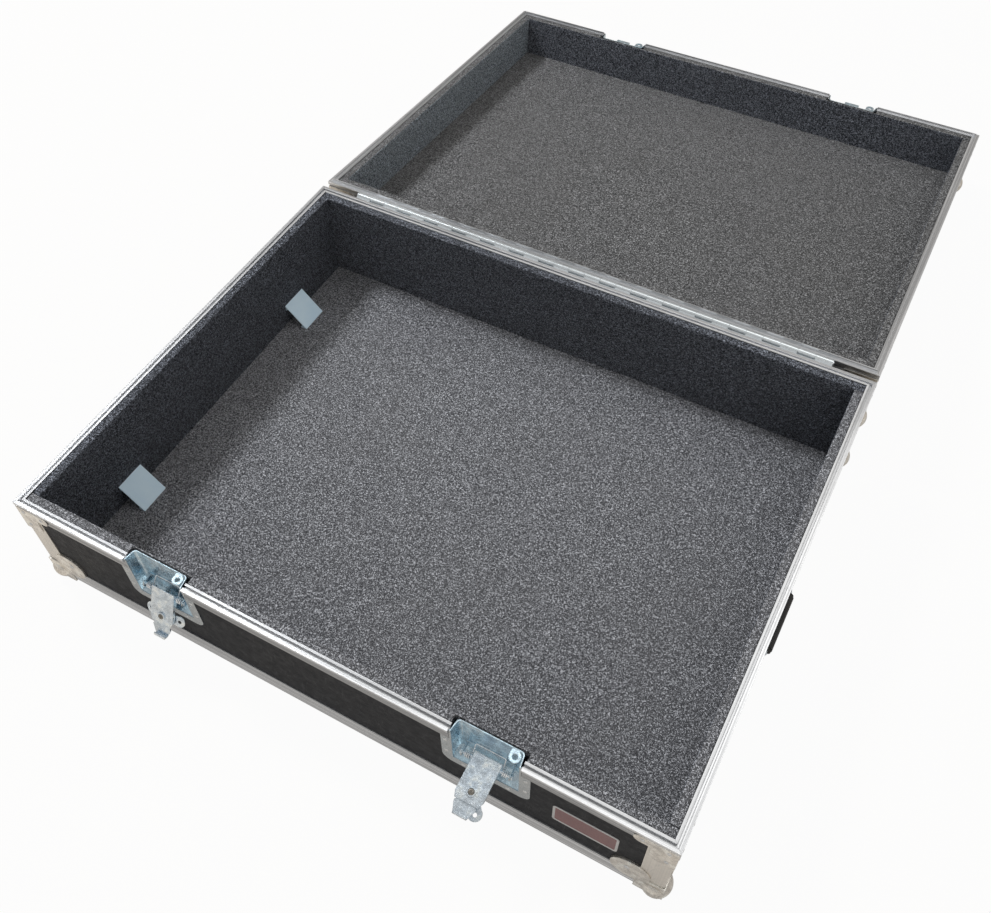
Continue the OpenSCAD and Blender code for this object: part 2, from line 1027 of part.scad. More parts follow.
module base_wall_foam() {
    color(foam_grey) {
        front_foam(base_h, base_mouth);
        mirror([0, 1, 0]) long_foam(base_h);
        both_ends() pocket_end_foam(base_h);
    }
}

module base_rim_front() { color(alloy) rim_front(base_h); }
module base_rim_back() { color(alloy) mirror([0, 1, 0]) rim_long(base_h); }
module base_rim_sides() { color(alloy) both_ends() rim_end(base_h); }
module base_edging_long() { color(alloy) edging_long(); }
module base_edging_short() { color(alloy) edging_short(); }
module base_corner_angles() { color(alloy) corner_angles(base_h); }
module base_ball_corners() { color(steel) ball_corners(); }
module base_corner_braces() { color(steel) corner_braces(base_h); }

module lid_top_panel() { color(black) place(lid_h) floor_panel(); }
module lid_front_panel() {
    color(black) place(lid_h) front_panel(lid_h, lid_mouth);
}
module lid_back_panel() { color(black) place(lid_h) back_panel(lid_h); }
module lid_left_panel() { color(black) place(lid_h) end_panel(lid_h); }
module lid_right_panel() {
    color(black) place(lid_h) mirror([1, 0, 0]) end_panel(lid_h);
}
module lid_top_foam() { color(foam_grey) place(lid_h) floor_foam(lid_h); }

module lid_wall_foam() {
    color(foam_grey)
        place(lid_h) {
            front_foam(lid_h, lid_mouth);
            mirror([0, 1, 0]) long_foam(lid_h);
            both_ends() end_foam(lid_h);
        }
}

module lid_rim_front() { color(alloy) place(lid_h) rim_front(lid_h); }
module lid_rim_back() {
    color(alloy) place(lid_h) mirror([0, 1, 0]) rim_long(lid_h);
}
module lid_rim_sides() { color(alloy) place(lid_h) both_ends() rim_end(lid_h); }
module lid_edging_long() { color(alloy) place(lid_h) edging_long(); }
module lid_edging_short() { color(alloy) place(lid_h) edging_short(); }
module lid_corner_angles() { color(alloy) place(lid_h) corner_angles(lid_h); }
module lid_ball_corners() { color(steel) place(lid_h) ball_corners(); }
module lid_corner_braces() { color(steel) place(lid_h) corner_braces(lid_h); }

module dish_base(side) {
    color(steel) at_latch(side, base_h) dish(base_mouth, base_floor, base_flange);
}

module dish_lid(side) {
    color(steel)
        place(lid_h) at_latch(side, lid_h) dish(lid_mouth, lid_floor, lid_flange);
}

module left_dish_base() { dish_base(-1); }
module right_dish_base() { dish_base(1); }
module left_dish_lid() { dish_lid(-1); }
module right_dish_lid() { dish_lid(1); }

module base_padlock_eyes() {
    color(steel) for (side = [-1, 1]) at_latch(side, base_h) eye();
}

module lid_padlock_eyes() {
    color(steel)
        place(lid_h) for (side = [-1, 1]) at_latch(side, lid_h) eye();
}

module left_keeper() { color(steel) place(lid_h) at_latch(-1, lid_h) keeper(); }
module right_keeper() { color(steel) place(lid_h) at_latch(1, lid_h) keeper(); }
module left_pivot_bracket() { color(steel) at_pin(-1) pivot_bracket(); }
module right_pivot_bracket() { color(steel) at_pin(1) pivot_bracket(); }
module left_pivot_pin() { color(steel) at_pin(-1) pivot_pin(); }
module right_pivot_pin() { color(steel) at_pin(1) pivot_pin(); }
module left_springs() { color(steel) at_pin(-1) springs(); }
module right_springs() { color(steel) at_pin(1) springs(); }
module left_latch_arm() { color(steel) swung(-1) latch_arm(); }
module right_latch_arm() { color(steel) swung(1) latch_arm(); }
module left_hook_plate() { color(steel) swung(-1) hook_plate(left_turn); }
module right_hook_plate() { color(steel) swung(1) hook_plate(right_turn); }
module left_butterfly() { color(steel) swung(-1) butterfly(left_turn); }
module right_butterfly() { color(steel) swung(1) butterfly(right_turn); }

module hinge_base_leaf() {
    color(alloy)
        translate([0, pivot_y, pivot_z]) hinge_leaf(0, pin_r + 0.03);
}

module hinge_lid_leaf() {
    color(alloy)
        fold_lid()
            translate([0, pivot_y, pivot_z])
                mirror([0, 0, 1]) hinge_leaf(1, pin_r + 0.08);
}

module hinge_pin() {
    color(alloy)
        translate([0, pivot_y, pivot_z])
            rotate([0, 90, 0])
                cylinder(h = hinge_len + 2, r = pin_r, center = true);
}

module left_handle_dish() { color(steel) at_handle(-1) handle_dish(); }
module right_handle_dish() { color(steel) at_handle(1) handle_dish(); }
module left_handle_bail() { color(steel) at_handle(-1) bail(); }
module right_handle_bail() { color(steel) at_handle(1) bail(); }
module left_handle_grip() { color(rubber) at_handle(-1) grip(); }
module right_handle_grip() { color(rubber) at_handle(1) grip(); }

module wedge_brackets() {
    color(steel)
        both_sides()
            translate([
                -case_w / 2 + foam_in, bracket_y, panel_t + foam_t
            ])
                wedge_bracket();
}

base_floor_panel();
base_front_panel();
base_back_panel();
base_left_panel();
base_right_panel();
base_floor_foam();
base_wall_foam();
base_rim_front();
base_rim_back();
base_rim_sides();
base_edging_long();
base_edging_short();
base_corner_angles();
base_ball_corners();
base_corner_braces();
lid_top_panel();
lid_front_panel();
lid_back_panel();
lid_left_panel();
lid_right_panel();
lid_top_foam();
lid_wall_foam();
lid_rim_front();
lid_rim_back();
lid_rim_sides();
lid_edging_long();
lid_edging_short();
lid_corner_angles();
lid_ball_corners();
lid_corner_braces();
left_dish_base();
right_dish_base();
left_dish_lid();
right_dish_lid();
base_padlock_eyes();
lid_padlock_eyes();
left_keeper();
right_keeper();
left_pivot_bracket();
right_pivot_bracket();
left_pivot_pin();
right_pivot_pin();
left_springs();
right_springs();
left_latch_arm();
right_latch_arm();
left_hook_plate();
right_hook_plate();
left_butterfly();
right_butterfly();
hinge_base_leaf();
hinge_lid_leaf();
hinge_pin();
left_handle_dish();
right_handle_dish();
left_handle_bail();
right_handle_bail();
left_handle_grip();
right_handle_grip();
wedge_brackets();
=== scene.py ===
import json
import math
import bmesh
import bpy
from mathutils import Matrix, Vector, noise


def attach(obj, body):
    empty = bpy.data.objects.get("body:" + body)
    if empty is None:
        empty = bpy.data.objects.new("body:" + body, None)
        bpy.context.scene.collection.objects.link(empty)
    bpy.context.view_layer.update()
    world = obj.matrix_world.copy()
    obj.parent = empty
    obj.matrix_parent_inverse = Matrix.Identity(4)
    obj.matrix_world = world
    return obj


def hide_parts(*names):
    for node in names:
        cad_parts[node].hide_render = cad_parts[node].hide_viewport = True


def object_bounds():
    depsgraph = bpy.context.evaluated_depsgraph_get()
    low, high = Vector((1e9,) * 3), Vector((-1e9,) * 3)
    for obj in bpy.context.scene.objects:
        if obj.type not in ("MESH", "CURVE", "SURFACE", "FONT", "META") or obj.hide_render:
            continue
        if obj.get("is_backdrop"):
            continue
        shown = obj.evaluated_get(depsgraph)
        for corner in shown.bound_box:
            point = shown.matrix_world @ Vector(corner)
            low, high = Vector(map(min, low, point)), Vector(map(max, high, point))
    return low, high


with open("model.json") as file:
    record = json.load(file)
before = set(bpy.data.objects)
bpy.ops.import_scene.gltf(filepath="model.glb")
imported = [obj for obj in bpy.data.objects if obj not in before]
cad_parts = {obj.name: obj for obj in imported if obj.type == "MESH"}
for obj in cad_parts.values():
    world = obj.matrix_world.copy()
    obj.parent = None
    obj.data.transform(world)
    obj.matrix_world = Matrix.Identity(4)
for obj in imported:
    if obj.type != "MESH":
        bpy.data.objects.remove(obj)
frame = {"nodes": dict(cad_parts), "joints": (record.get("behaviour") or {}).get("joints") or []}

nodes = frame["nodes"]
low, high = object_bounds()

# The studio
# Table and backdrop in one curved sheet, five soft lamps and the camera at the
# photo's own viewpoint. None of it belongs to the case.
scene = bpy.context.scene
scene.view_settings.view_transform = "Standard"

cam_data = bpy.data.cameras.new("camera")
cam_data.sensor_width = 36.0
cam_data.lens = 37.77
cam_data.shift_x = 0.0175
cam_data.shift_y = -0.0213
camera = bpy.data.objects.new("camera", cam_data)
bpy.context.collection.objects.link(camera)
camera_right = Vector((0.876106, 0.481721, -0.019571))
camera_up = Vector((-0.369438, 0.696871, 0.614725))
camera_back = Vector((0.309765, -0.531334, 0.788499))
camera_place = Vector((0.41915, -0.67264, 1.18225))
camera.matrix_world = Matrix((
    (camera_right.x, camera_up.x, camera_back.x, camera_place.x),
    (camera_right.y, camera_up.y, camera_back.y, camera_place.y),
    (camera_right.z, camera_up.z, camera_back.z, camera_place.z),
    (0, 0, 0, 1)))
scene.camera = camera


def new_object(name, mesh):
    """Links a mesh as an object of the scene."""
    obj = bpy.data.objects.new(name, mesh)
    bpy.context.collection.objects.link(obj)
    return obj


def new_material(name):
    """A material with a Principled shader; returns it with its tree and shader."""
    mat = bpy.data.materials.new(name)
    mat.use_nodes = True
    tree = mat.node_tree
    tree.nodes.clear()
    shader = tree.nodes.new("ShaderNodeBsdfPrincipled")
    out = tree.nodes.new("ShaderNodeOutputMaterial")
    tree.links.new(shader.outputs["BSDF"], out.inputs["Surface"])
    return mat, tree, shader


def node(tree, kind, inputs=None, **values):
    """Adds a node, sets its properties and its unlinked or linked inputs."""
    n = tree.nodes.new(kind)
    for key, value in values.items():
        setattr(n, key, value)
    for key, value in (inputs or {}).items():
        if isinstance(value, bpy.types.NodeSocket):
            tree.links.new(value, n.inputs[key])
        else:
            n.inputs[key].default_value = value
    return n


def scaled(tree, value, from_low, from_high, to_low, to_high):
    """Maps a value from one range to another, clamped."""
    n = node(tree, "ShaderNodeMapRange", {
        "Value": value, "From Min": from_low, "From Max": from_high,
        "To Min": to_low, "To Max": to_high})
    return n.outputs["Result"]


def maths(tree, operation, a, b=0.0):
    """Math node with two inputs that may be values or sockets."""
    n = tree.nodes.new("ShaderNodeMath")
    n.operation = operation
    for index, value in ((0, a), (1, b)):
        if isinstance(value, bpy.types.NodeSocket):
            tree.links.new(value, n.inputs[index])
        else:
            n.inputs[index].default_value = value
    return n.outputs[0]


floor_mesh = bpy.data.meshes.new("studio_floor")
bm = bmesh.new()
floor_level = low[2]
sheet_start, bend_start, bend_radius = -6.0, 5.0, 2.0
sheet_top, sheet_half = 9.0, 9.0
bend_steps = 12
profile = [(sheet_start, floor_level), (bend_start, floor_level)]
for step in range(1, bend_steps + 1):
    angle = math.radians(step * 90 / bend_steps)
    profile.append((bend_start + bend_radius * math.sin(angle),
                    floor_level + bend_radius * (1 - math.cos(angle))))
profile.append((bend_start + bend_radius, sheet_top))
rows = [[bm.verts.new((x, y, z)) for x in (-sheet_half, sheet_half)] for y, z in profile]
for a, b in zip(rows, rows[1:]):
    bm.faces.new((a[0], a[1], b[1], b[0]))
bm.to_mesh(floor_mesh)
bm.free()
floor_mesh.shade_smooth()
studio_floor = new_object("studio_floor", floor_mesh)
floor_mat, tree, shader = new_material("studio_white")
coords = node(tree, "ShaderNodeTexCoord").outputs["Object"]
cloud = node(tree, "ShaderNodeTexNoise", {"Vector": coords, "Scale": 1.5})
shader.inputs["Base Color"].default_value = (0.42, 0.37, 0.31, 1)
tree.links.new(scaled(tree, cloud.outputs["Fac"], 0.3, 0.7, 0.75, 0.85),
               shader.inputs["Roughness"])
# The camera sees the sheet as clean white with only its faint shadows, and
# metal sees a paler sheet than the one that lights the case
camera_glow, mirror_glow = 0.96, 0.34
light_path = node(tree, "ShaderNodeLightPath")
glow = node(tree, "ShaderNodeEmission", {"Color": (1, 1, 1, 1), "Strength": 1.0})
blend = node(tree, "ShaderNodeMixShader")
mirrored = maths(tree, "MAXIMUM", light_path.outputs["Is Glossy Ray"],
                 light_path.outputs["Is Transmission Ray"])
seen = maths(tree, "MAXIMUM",
             maths(tree, "MULTIPLY", light_path.outputs["Is Camera Ray"], camera_glow),
             maths(tree, "MULTIPLY", mirrored, mirror_glow))
tree.links.new(seen, blend.inputs[0])
tree.links.new(shader.outputs["BSDF"], blend.inputs[1])
tree.links.new(glow.outputs["Emission"], blend.inputs[2])
output = next(n for n in tree.nodes if n.type == "OUTPUT_MATERIAL")
tree.links.new(blend.outputs[0], output.inputs["Surface"])
floor_mesh.materials.append(floor_mat)
studio_floor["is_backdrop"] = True

world = bpy.data.worlds.new("studio_air")
world.use_nodes = True
air = world.node_tree.nodes["Background"]
air.inputs["Color"].default_value = (0.98, 0.985, 0.98, 1)
air.inputs["Strength"].default_value = 0.48
scene.world = world


def lamp(name, place, target, width, depth, power, colour):
    """A soft rectangular lamp aimed at a point."""
    data = bpy.data.lights.new(name, "AREA")
    data.shape = "RECTANGLE"
    data.size = width
    data.size_y = depth
    data.energy = power
    data.color = colour
    obj = bpy.data.objects.new(name, data)
    bpy.context.collection.objects.link(obj)
    obj.location = place
    aim = Vector(target) - Vector(place)
    obj.rotation_euler = aim.to_track_quat("-Z", "Y").to_euler()
    return obj


# The key comes steeply from the left and a little from behind, and draws the
# soft edge of the left wall's shadow on the foam. Metal sees only the weaker
# lamp in the same place, as glints, and two broad, dim panels.
key_place, key_aim, key_size = (-2.25, 0.55, 3.1), (-0.1, 0.1, 0.0), 0.62
key = lamp("key", key_place, key_aim, key_size, key_size, 88, (0.96, 0.98, 1.0))
key.visible_glossy = False
lamp("key_glint", key_place, key_aim, key_size, key_size, 26, (0.97, 0.98, 1.0))
lamp("ceiling_panel", (0.50, 1.15, 2.9), (0.50, 1.15, 0.0), 2.3, 2.3, 17, (1.0, 0.99, 0.97))
lamp("window_panel", (-2.0, 0.50, 2.9), (-2.0, 0.50, 0.0), 1.7, 0.7, 4, (0.95, 0.98, 1.0))
lamp("front_fill", (1.3, -2.6, 1.2), (0.0, 0.0, 0.05), 1.6, 0.8, 7, (1.0, 0.94, 0.86))

# Surface effects to share
# Three small groups that every metal, laminate and foam below draws on: edges
# (worn on laminate and paint, a painted highlight on the zinc), drifting grime
# and fine scratches. They give out masks only.


def effect_group(name, inputs, outputs):
    """An empty node group with float or vector sockets."""
    group = bpy.data.node_groups.new(name, "ShaderNodeTree")
    for socket, kind, value in inputs:
        made = group.interface.new_socket(
            name=socket, in_out="INPUT", socket_type="NodeSocket" + kind)
        if value is not None:
            made.default_value = value
    for socket, kind in outputs:
        group.interface.new_socket(
            name=socket, in_out="OUTPUT", socket_type="NodeSocket" + kind)
    return group, group.nodes.new("NodeGroupInput"), group.nodes.new("NodeGroupOutput")


edge_group, group_in, group_out = effect_group(
    "worn_and_highlit_edges", [("Radius", "Float", 0.0008), ("Scale", "Float", 300.0)],
    [("Edge", "Float"), ("Normal", "Vector")])
rounded = node(edge_group, "ShaderNodeBevel", samples=4)
edge_group.links.new(group_in.outputs["Radius"], rounded.inputs["Radius"])
flat = node(edge_group, "ShaderNodeNewGeometry")
turn = node(edge_group, "ShaderNodeVectorMath", operation="DOT_PRODUCT")
edge_group.links.new(rounded.outputs["Normal"], turn.inputs[0])
edge_group.links.new(flat.outputs["Normal"], turn.inputs[1])
edge_coords = node(edge_group, "ShaderNodeTexCoord").outputs["Object"]
chips = node(edge_group, "ShaderNodeTexNoise", {"Vector": edge_coords, "Detail": 4.0})
edge_group.links.new(group_in.outputs["Scale"], chips.inputs["Scale"])
bent = scaled(edge_group, turn.outputs["Value"], 0.97, 0.80, 0.0, 1.0)
broken = scaled(edge_group, chips.outputs["Fac"], 0.42, 0.60, 0.15, 1.0)
edge_group.links.new(maths(edge_group, "MULTIPLY", bent, broken), group_out.inputs["Edge"])
edge_group.links.new(rounded.outputs["Normal"], group_out.inputs["Normal"])

grime_group, group_in, group_out = effect_group(
    "drifting_grime", [("Scale", "Float", 6.0)], [("Broad", "Float"), ("Fine", "Float")])
grime_coords = node(grime_group, "ShaderNodeTexCoord").outputs["Object"]
broad = node(grime_group, "ShaderNodeTexNoise",
             {"Vector": grime_coords, "Detail": 6.0, "Roughness": 0.62, "Distortion": 0.4})
grime_group.links.new(group_in.outputs["Scale"], broad.inputs["Scale"])
fine = node(grime_group, "ShaderNodeTexNoise", {"Vector": grime_coords, "Detail": 5.0})
grime_group.links.new(maths(grime_group, "MULTIPLY", group_in.outputs["Scale"], 17.0),
                      fine.inputs["Scale"])
grime_group.links.new(scaled(grime_group, broad.outputs["Fac"], 0.3, 0.7, 0.0, 1.0),
                      group_out.inputs["Broad"])
grime_group.links.new(scaled(grime_group, fine.outputs["Fac"], 0.3, 0.7, 0.0, 1.0),
                      group_out.inputs["Fine"])

scratch_group, group_in, group_out = effect_group(
    "fine_scratches", [("Scale", "Float", 40.0)], [("Scratch", "Float")])
scratch_coords = node(scratch_group, "ShaderNodeTexCoord").outputs["Object"]
layers = []
for angle in (0.35, 1.4, 2.5):
    turned = node(scratch_group, "ShaderNodeMapping", {
        "Vector": scratch_coords, "Rotation": (angle, angle * 0.7, angle)})
    squeezed = node(scratch_group, "ShaderNodeVectorMath", operation="MULTIPLY")
    scratch_group.links.new(turned.outputs["Vector"], squeezed.inputs[0])
    squeezed.inputs[1].default_value = (1.0, 14.0, 14.0)
    lines = node(scratch_group, "ShaderNodeTexNoise",
                 {"Vector": squeezed.outputs["Vector"], "Detail": 2.0})
    scratch_group.links.new(group_in.outputs["Scale"], lines.inputs["Scale"])
    layers.append(scaled(scratch_group, lines.outputs["Fac"], 0.66, 0.72, 0.0, 1.0))
total = maths(scratch_group, "MAXIMUM", layers[0], layers[1])
scratch_group.links.new(maths(scratch_group, "MAXIMUM", total, layers[2]),
                        group_out.inputs["Scratch"])


def effect(tree, group, **values):
    """Puts a shared group into a material's tree."""
    n = tree.nodes.new("ShaderNodeGroup")
    n.node_tree = group
    for key, value in values.items():
        n.inputs[key].default_value = value
    return n


# The panels
# Ten sheets of birch ply faced with black phenolic laminate, cut square and
# slid into the rims; the fine leathery grain is pressed into the laminate.


def mix_colour(tree, factor, a, b, blend="MIX"):
    """Colour mix node whose three inputs may be values or sockets."""
    n = tree.nodes.new("ShaderNodeMix")
    n.data_type = "RGBA"
    n.blend_type = blend
    for index, value in ((0, factor), (6, a), (7, b)):
        if isinstance(value, bpy.types.NodeSocket):
            tree.links.new(value, n.inputs[index])
        else:
            n.inputs[index].default_value = value
    return n.outputs[2]


def dress(names, material):
    """Gives CAD nodes one material."""
    for name in names:
        mesh = nodes[name].data
        mesh.materials.clear()
        mesh.materials.append(material)


def bumpy(tree, shader, height, strength, distance, normal=None):
    """Bump from a height socket, over a rounded normal where there is one."""
    bump = node(tree, "ShaderNodeBump",
                {"Height": height, "Strength": strength, "Distance": distance})
    if normal is not None:
        tree.links.new(normal, bump.inputs["Normal"])
    tree.links.new(bump.outputs["Normal"], shader.inputs["Normal"])


laminate, tree, shader = new_material("black_laminate")
edges = effect(tree, edge_group, Radius=0.0006, Scale=220.0)
grime = effect(tree, grime_group, Scale=7.0)
scratches = effect(tree, scratch_group, Scale=26.0)
coords = node(tree, "ShaderNodeTexCoord").outputs["Object"]
grain = node(tree, "ShaderNodeTexVoronoi",
             {"Vector": coords, "Scale": 950.0, "Randomness": 0.9},
             feature="DISTANCE_TO_EDGE")
pores = node(tree, "ShaderNodeTexNoise", {"Vector": coords, "Scale": 1600.0, "Detail": 3.0})
base = mix_colour(tree, grime.outputs["Broad"],
                  (0.009, 0.010, 0.013, 1), (0.016, 0.017, 0.021, 1))
base = mix_colour(tree, maths(tree, "MULTIPLY", scratches.outputs["Scratch"], 0.35),
                  base, (0.075, 0.078, 0.085, 1))
base = mix_colour(tree, maths(tree, "MULTIPLY", edges.outputs["Edge"], 0.5),
                  base, (0.11, 0.10, 0.09, 1))
tree.links.new(base, shader.inputs["Base Color"])
rough = scaled(tree, grime.outputs["Fine"], 0.0, 1.0, 0.42, 0.56)
tree.links.new(rough, shader.inputs["Roughness"])
shader.inputs["Specular IOR Level"].default_value = 0.12
height = maths(tree, "ADD", maths(tree, "MULTIPLY", grain.outputs["Distance"], 3.0),
               maths(tree, "MULTIPLY", pores.outputs["Fac"], 0.5))
bumpy(tree, shader, height, 0.35, 0.0002, edges.outputs["Normal"])
dress(["base_floor_panel", "base_front_panel", "base_back_panel", "base_left_panel",
       "base_right_panel", "lid_top_panel", "lid_front_panel", "lid_back_panel",
       "lid_left_panel", "lid_right_panel"], laminate)

# Rims and edging
# Extruded aluminium, satin anodised: groove rim on the base, tongue rim on
# the lid, plain angles on the other edges. The die leaves fine lines along
# each length, and corners that rub are dull and scratched.


def joint_named(name):
    """One joint of the frame."""
    return next(j for j in frame["joints"] if j["name"] == name)


open_angle = math.radians(joint_named("lid_hinge")["range_deg"][1])
lid_lean = open_angle - math.pi


def extruded(name, along, tint, rough_low, rough_high, ridged=0.75, flange_shade_top=None,
             tilt=0.0):
    """Anodised aluminium whose die lines run along one axis.

    Below the given flange height, in metres, the flange gets painted shade in
    fine bands for its darker reflection, and tilt is the angle at which the open lid leans.
    """
    mat, tree, shader = new_material(name)
    edges = effect(tree, edge_group, Radius=0.0005, Scale=260.0)
    grime = effect(tree, grime_group, Scale=11.0)
    scratches = effect(tree, scratch_group, Scale=38.0)
    coords = node(tree, "ShaderNodeTexCoord").outputs["Object"]
    level = node(tree, "ShaderNodeVectorRotate", {"Vector": coords, "Angle": tilt},
                 rotation_type="X_AXIS").outputs["Vector"]
    stretch = [1400.0, 1400.0, 1400.0]
    stretch[along] = 6.0
    drawn = node(tree, "ShaderNodeVectorMath", {0: level, 1: stretch},
                 operation="MULTIPLY").outputs["Vector"]
    lines = node(tree, "ShaderNodeTexNoise", {"Vector": drawn, "Scale": 1.0, "Detail": 3.0})
    ridges = node(tree, "ShaderNodeTexNoise",
                  {"Vector": drawn, "Scale": 0.26, "Detail": 1.0})
    base = mix_colour(tree, grime.outputs["Broad"], (*[c * 0.9 for c in tint], 1),
                      (*[c * 1.06 for c in tint], 1))
    base = mix_colour(tree, scaled(tree, ridges.outputs["Fac"], 0.60, 0.44, 0.0, ridged),
                      base, (*[c * 0.52 for c in tint], 1))
    if flange_shade_top is not None:
        # Painted shade: below its top the flange is darkened in fine bands, standing in for the
        # darker reflection it shows
        line_pitch = 0.003
        height_up = node(tree, "ShaderNodeSeparateXYZ", {0: coords}).outputs["Z"]
        below = scaled(tree, height_up, flange_shade_top, flange_shade_top - 0.001, 0.0, 0.55)
        line = maths(tree, "SINE", maths(tree, "MULTIPLY", height_up,
                                          2 * math.pi / line_pitch))
        dull = maths(tree, "MULTIPLY", below, scaled(tree, line, -0.6, 0.6, 0.7, 1.5))
        base = mix_colour(tree, dull, base, (*[c * 0.22 for c in tint], 1))
    base = mix_colour(tree, maths(tree, "MULTIPLY", grime.outputs["Fine"], 0.12),
                      base, (0.42, 0.42, 0.42, 1))
    base = mix_colour(tree, maths(tree, "MULTIPLY", scratches.outputs["Scratch"], 0.25),
                      base, (0.5, 0.51, 0.53, 1))
    tree.links.new(base, shader.inputs["Base Color"])
    shader.inputs["Metallic"].default_value = 1.0
    rough = scaled(tree, lines.outputs["Fac"], 0.3, 0.7, rough_low, rough_high)
    worn = maths(tree, "ADD", rough, maths(tree, "MULTIPLY", edges.outputs["Edge"], 0.12))
    tree.links.new(worn, shader.inputs["Roughness"])
    height = maths(tree, "SUBTRACT", lines.outputs["Fac"],
                   maths(tree, "MULTIPLY", scratches.outputs["Scratch"], 0.8))
    bumpy(tree, shader, height, 0.22, 0.00012, edges.outputs["Normal"])
    return mat


alloy_tint = (0.93, 0.94, 0.96)
alloy_x = extruded("anodised_along_x", 0, alloy_tint, 0.26, 0.42)
alloy_y = extruded("anodised_along_y", 1, alloy_tint, 0.26, 0.42)
corner_tint = (0.88, 0.84, 0.78)
alloy_z = extruded("anodised_along_z", 2, corner_tint, 0.34, 0.48, ridged=0.15)
# The base rim's front flange carries painted shade below 150.5 mm
shaded_flange_x = extruded("anodised_flange_painted_shade", 0, alloy_tint, 0.26, 0.42, flange_shade_top=0.1505)
lid_alloy_y = extruded("anodised_lid_sides", 1, alloy_tint, 0.26, 0.42, tilt=lid_lean)
lid_alloy_z = extruded("anodised_lid_corners", 2, corner_tint, 0.34, 0.48, ridged=0.15,
                       tilt=lid_lean)
dress(["base_rim_front"], shaded_flange_x)
dress(["base_rim_back", "lid_rim_front", "lid_rim_back",
       "base_edging_long", "lid_edging_long"], alloy_x)
dress(["base_rim_sides", "base_edging_short"], alloy_y)
dress(["lid_rim_sides", "lid_edging_short"], lid_alloy_y)
dress(["base_corner_angles"], alloy_z)
dress(["lid_corner_angles"], lid_alloy_z)
hinge_alloy = extruded("hinge_aluminium", 0, (0.92, 0.97, 1.0), 0.22, 0.36, ridged=0.12)
dress(["hinge_base_leaf", "hinge_lid_leaf", "hinge_pin"], hinge_alloy)

# Zinc plated steel
# Corners, braces, dishes, latches and handle dishes are pressed steel with
# bright zinc plate: bluish, a little cloudy, with duller warm patches where
# the plate has aged, and a painted highlight, near white, along rounded edges.


def ramp(tree, factor, stops):
    """Colour ramp from a list of (position, colour) stops."""
    n = tree.nodes.new("ShaderNodeValToRGB")
    tree.links.new(factor, n.inputs["Fac"])
    elements = n.color_ramp.elements
    while len(elements) < len(stops):
        elements.new(0.5)
    for element, (position, colour) in zip(elements, stops):
        element.position = position
        element.color = colour if len(colour) == 4 else (*colour, 1)
    return n.outputs["Color"]


def plated(name, blue, warm, rough_low, rough_high, cloud_scale, worn_side=None):
    """Zinc plate that drifts between a blue and a warm dull tone.

    worn_side is an outward direction and a distance along it in metres, past
    which the plate has lost its blue.
    """
    mat, tree, shader = new_material(name)
    edges = effect(tree, edge_group, Radius=0.0009, Scale=340.0)
    grime = effect(tree, grime_group, Scale=cloud_scale)
    scratches = effect(tree, scratch_group, Scale=60.0)
    coords = node(tree, "ShaderNodeTexCoord").outputs["Object"]
    spangle = node(tree, "ShaderNodeTexVoronoi",
                   {"Vector": coords, "Scale": 420.0, "Randomness": 1.0})
    dents = node(tree, "ShaderNodeTexNoise", {"Vector": coords, "Scale": 110.0, "Detail": 3.0})
    # Painted shade and highlight: the plate is darker in its dents and brighter on their rises,
    # following the same noise as the bump
    bright = [min(1.0, c * 1.35) for c in blue]
    base = ramp(tree, dents.outputs["Fac"],
                [(0.36, [c * 0.72 for c in blue]), (0.50, blue), (0.66, bright)])
    base = mix_colour(tree, maths(tree, "MULTIPLY", grime.outputs["Broad"], 0.65),
                      base, (*warm, 1))
    if worn_side is not None:
        way, far = worn_side
        out = node(tree, "ShaderNodeVectorMath", {0: coords, 1: way},
                   operation="DOT_PRODUCT")
        on_flange = scaled(tree, out.outputs["Value"], far, far + 0.0006, 0.0, 0.85)
        base = mix_colour(tree, on_flange, base, (0.48, 0.49, 0.49, 1))
    flecks = scaled(tree, spangle.outputs["Distance"], 0.0, 0.9, 0.88, 1.12)
    base = mix_colour(tree, 1.0, base, flecks, "MULTIPLY")
    base = mix_colour(tree, maths(tree, "MULTIPLY", scratches.outputs["Scratch"], 0.4),
                      base, (0.35, 0.36, 0.38, 1))
    # Painted highlight: the rounded edges are painted near white in broken patches, where the key
    # lamp's glint falls on them
    base = mix_colour(tree, maths(tree, "MULTIPLY", edges.outputs["Edge"], 0.8),
                      base, (0.96, 0.97, 0.98, 1))
    tree.links.new(base, shader.inputs["Base Color"])
    shader.inputs["Metallic"].default_value = 1.0
    rough = scaled(tree, grime.outputs["Fine"], 0.0, 1.0, rough_low, rough_high)
    tree.links.new(maths(tree, "ADD", rough,
                         maths(tree, "MULTIPLY", scratches.outputs["Scratch"], 0.12)),
                   shader.inputs["Roughness"])
    height = maths(tree, "ADD", maths(tree, "MULTIPLY", dents.outputs["Fac"], 1.0),
                   maths(tree, "MULTIPLY", scratches.outputs["Scratch"], -0.25))
    bumpy(tree, shader, height, 0.42, 0.0011, edges.outputs["Normal"])
    return mat


# A dish's flange lies on the face of the case, this far in front of its middle
flange_out = 0.3309
lid_pivot = Vector(joint_named("lid_hinge")["pos_m"])
lid_out = Vector((0, -math.cos(open_angle), math.sin(open_angle)))
lid_flange_out = lid_pivot.dot(lid_out) + lid_pivot.y + flange_out
dish_blue, dish_warm = (0.46, 0.64, 0.76), (0.66, 0.70, 0.72)
zinc_dish = plated("zinc_dish", dish_blue, dish_warm, 0.16, 0.30, 26.0,
                   worn_side=((0, -1, 0), flange_out))
zinc_lid_dish = plated("zinc_lid_dish", dish_blue, dish_warm, 0.16, 0.30, 26.0,
                       worn_side=(tuple(lid_out), lid_flange_out))
zinc_latch = plated("zinc_latch", (0.70, 0.80, 0.90), (0.80, 0.84, 0.86), 0.18, 0.34, 34.0)
zinc_corner = plated("zinc_corner", (0.78, 0.75, 0.70), (0.84, 0.78, 0.70), 0.24, 0.40, 18.0)
